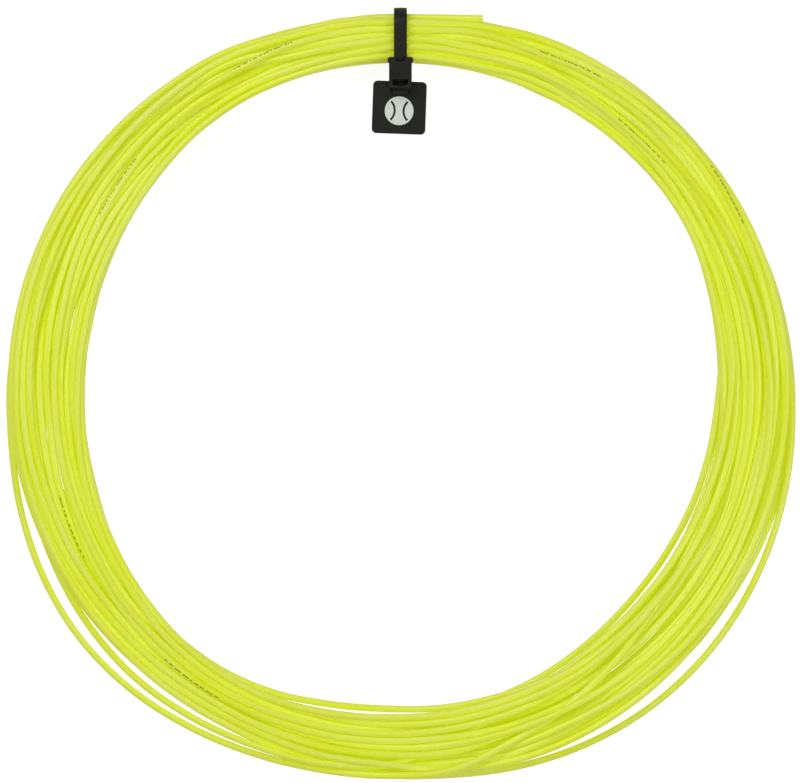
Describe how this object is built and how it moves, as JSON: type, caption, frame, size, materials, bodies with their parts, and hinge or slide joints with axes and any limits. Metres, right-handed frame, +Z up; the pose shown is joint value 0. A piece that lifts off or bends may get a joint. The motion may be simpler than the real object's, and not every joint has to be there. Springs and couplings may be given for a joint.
{
  "type": "coiled racket string",
  "caption": "Loose round coil of thin plastic racket string, held by a flag tie with a small square tag.",
  "frame": {"origin": "middle of the coil's eye, on the surface the coil rests on", "axes": "+Z up through the eye, +Y from the middle towards the tie"},
  "size_m": [0.1513, 0.1479, 0.0097],
  "materials": {
    "string": "smooth gloss",
    "tie": "satin moulded",
    "mark": "printed ink"
  },
  "bodies": {
    "coil": {"string": "string"},
    "tie": {"tie_strap": "tie", "tie_head": "tie"},
    "pawl": {"tie_pawl": "tie"},
    "tag": {"tag_neck": "tie", "tag_plate": "tie", "tag_mark": "mark"}
  },
  "joints": [
    {"name": "tie_slide", "type": "hinge", "parent": "coil", "child": "tie", "pos_m": [0, 0, 0.0044], "axis": [0, 0, 1], "range_deg": [-1, 8]},
    {"name": "pawl_flex", "type": "hinge", "parent": "tie", "child": "pawl", "pos_m": [0, 0.06175, 0.0075], "axis": [1, 0, 0], "range_deg": [0, 9], "stiffness_Nm_per_rad": 0.002},
    {"name": "tag_swing", "type": "hinge", "parent": "tie", "child": "tag", "pos_m": [0, 0.05765, 0.0071], "axis": [-1, 0, 0], "range_deg": [-18, 75], "stiffness_Nm_per_rad": 0.0005}
  ]
}
